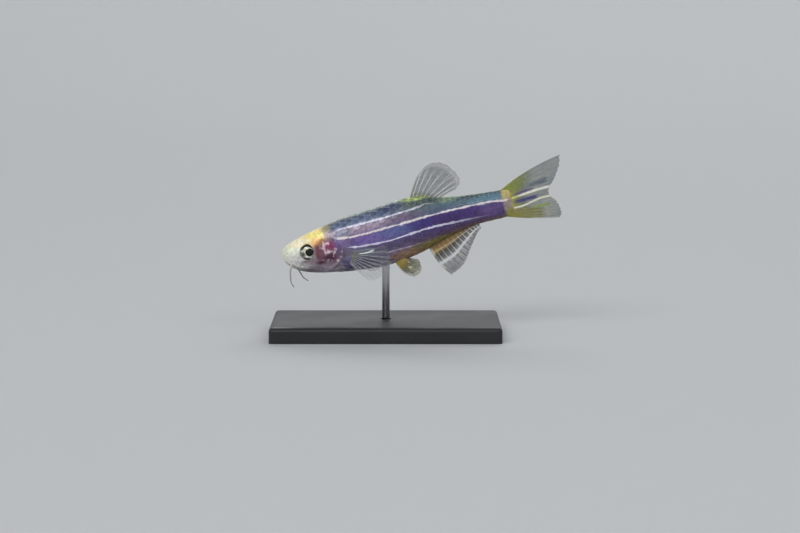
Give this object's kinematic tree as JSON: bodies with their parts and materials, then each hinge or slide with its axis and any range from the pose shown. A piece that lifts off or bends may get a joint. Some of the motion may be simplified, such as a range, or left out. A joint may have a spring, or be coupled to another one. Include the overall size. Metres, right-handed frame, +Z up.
{
  "type": "zebra danio model",
  "caption": "Life-size zebra danio in a swimming pose, fins spread, held over a flat display stand by a short rod.",
  "frame": {"origin": "middle of the underside of the stand's base", "axes": "+Z up, +X from the fish's head towards its tail, -Y towards the fish's left side"},
  "size_m": [0.0458, 0.02, 0.0284],
  "materials": {
    "head": "moist skin, cream snout and golden crown",
    "jaw": "moist skin, cream to grey",
    "gill_cover": "pearly, maroon under silver",
    "eye": "clear wet lens, silver iris",
    "flank": "scaled skin, violet with pale stripes",
    "tail": "scaled skin, violet to yellow",
    "fin": "clear membrane with pale rays",
    "barbel": "thin translucent feelers",
    "stand_base": "satin black",
    "stand_rod": "brushed"
  },
  "bodies": {
    "root": {"head": "head", "lower_jaw": "jaw", "gill_cover_left": "gill_cover", "gill_cover_right": "gill_cover", "eye_left": "eye", "eye_right": "eye", "trunk": "flank", "hind_body": "flank", "tail_stalk": "tail", "dorsal_fin": "fin", "anal_fin": "fin", "tail_fin_upper": "fin", "tail_fin_lower": "fin", "pectoral_fin_left": "fin", "pectoral_fin_right": "fin", "pelvic_fin_left": "fin", "pelvic_fin_right": "fin", "barbel_maxillary_left": "barbel", "barbel_maxillary_right": "barbel", "barbel_rostral_left": "barbel", "barbel_rostral_right": "barbel", "stand_base": "stand_base", "stand_rod": "stand_rod"}
  },
  "joints": []
}
